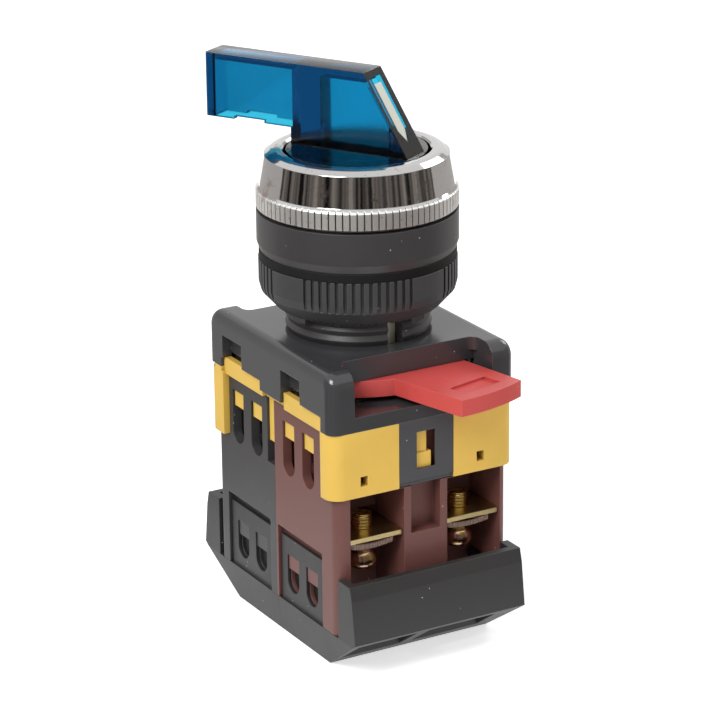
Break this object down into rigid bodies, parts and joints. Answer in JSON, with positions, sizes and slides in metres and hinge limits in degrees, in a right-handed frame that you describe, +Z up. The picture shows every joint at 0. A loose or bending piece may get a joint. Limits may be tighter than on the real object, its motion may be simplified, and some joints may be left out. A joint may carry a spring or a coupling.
{
  "type": "cam switch",
  "caption": "illuminated selector cam switch with an offset blue lever, chrome bezel, panel nut, red locking lever and contact blocks under clip-on covers",
  "frame": {"origin": "on the head's axis, on the panel seat, which is the underside of the gasket", "axes": "+Z up along the head's axis away from the panel, -Y towards the red locking lever, +X to the right of it"},
  "size_m": [0.0308, 0.0512, 0.0848],
  "materials": {
    "blue_plastic": "clear tinted blue, glossy",
    "cream_plastic": "satin cream",
    "chrome_plate": "polished chrome plate",
    "black_plastic": "satin moulded black",
    "nut_plastic": "satin moulded black",
    "gasket_rubber": "matt",
    "ball_steel": "polished",
    "spring_steel": "drawn wire",
    "lamp_glass": "clear",
    "frame_plastic": "satin moulded black",
    "red_plastic": "satin moulded red",
    "yellow_plastic": "satin moulded yellow",
    "grey_plastic": "satin dark grey",
    "brown_plastic": "satin moulded brown",
    "cover_plastic": "satin dark grey",
    "contact_brass": "rolled sheet",
    "screw_steel": "yellow zinc plate",
    "washer_steel": "stamped, zinc plate"
  },
  "bodies": {
    "base": {"bezel_ring": "chrome_plate", "head_body": "black_plastic", "panel_gasket": "gasket_rubber", "detent_ball": "ball_steel", "detent_spring": "spring_steel", "lamp": "lamp_glass", "lamp_holder": "cream_plastic", "adapter_frame": "frame_plastic", "contact_carrier": "yellow_plastic", "terminal_screws": "screw_steel", "clamp_washers": "washer_steel", "clip_plate_front": "grey_plastic", "housing_front": "brown_plastic", "return_spring_front": "spring_steel", "cover_front": "cover_plastic", "fixed_contact_front_left": "contact_brass", "fixed_contact_front_right": "contact_brass", "clip_plate_rear": "grey_plastic", "housing_rear": "grey_plastic", "return_spring_rear": "spring_steel", "cover_rear": "cover_plastic", "fixed_contact_rear_left": "contact_brass", "fixed_contact_rear_right": "contact_brass"},
    "lever_group": {"lever": "blue_plastic", "pointer_insert": "cream_plastic", "cam_rotor": "cream_plastic"},
    "lock_group": {"lock_lever": "red_plastic"},
    "nut_group": {"panel_nut": "nut_plastic"},
    "plunger_front_group": {"plunger_front": "yellow_plastic", "contact_bridge_front": "contact_brass", "contact_spring_front": "spring_steel"},
    "plunger_rear_group": {"plunger_rear": "yellow_plastic", "contact_bridge_rear": "contact_brass", "contact_spring_rear": "spring_steel"}
  },
  "joints": [
    {"name": "lever_turn", "type": "hinge", "parent": "base", "child": "lever_group", "pos_m": [0, 0, 0], "axis": [0, 0, 1], "range_deg": [-60, 0]},
    {"name": "lock_turn", "type": "hinge", "parent": "base", "child": "lock_group", "pos_m": [0, 0, -0.0155], "axis": [0, 0, 1], "range_deg": [-26.5, 0]},
    {"name": "nut_run", "type": "slide", "parent": "base", "child": "nut_group", "axis": [0, 0, -1], "range_m": [0, 0.0028]},
    {"name": "plunger_front_slide", "type": "slide", "parent": "base", "child": "plunger_front_group", "axis": [0, 0, -1], "range_m": [0, 0.0036], "deforming": ["return_spring_front"]},
    {"name": "plunger_rear_slide", "type": "slide", "parent": "base", "child": "plunger_rear_group", "axis": [0, 0, -1], "range_m": [0, 0.0036], "deforming": ["return_spring_rear"]}
  ],
  "couplings": [
    {"joint": "plunger_front_slide", "follows": "lever_turn", "m_per_rad": -0.0034377},
    {"joint": "plunger_rear_slide", "follows": "lever_turn", "m_per_rad": -0.0034377}
  ]
}
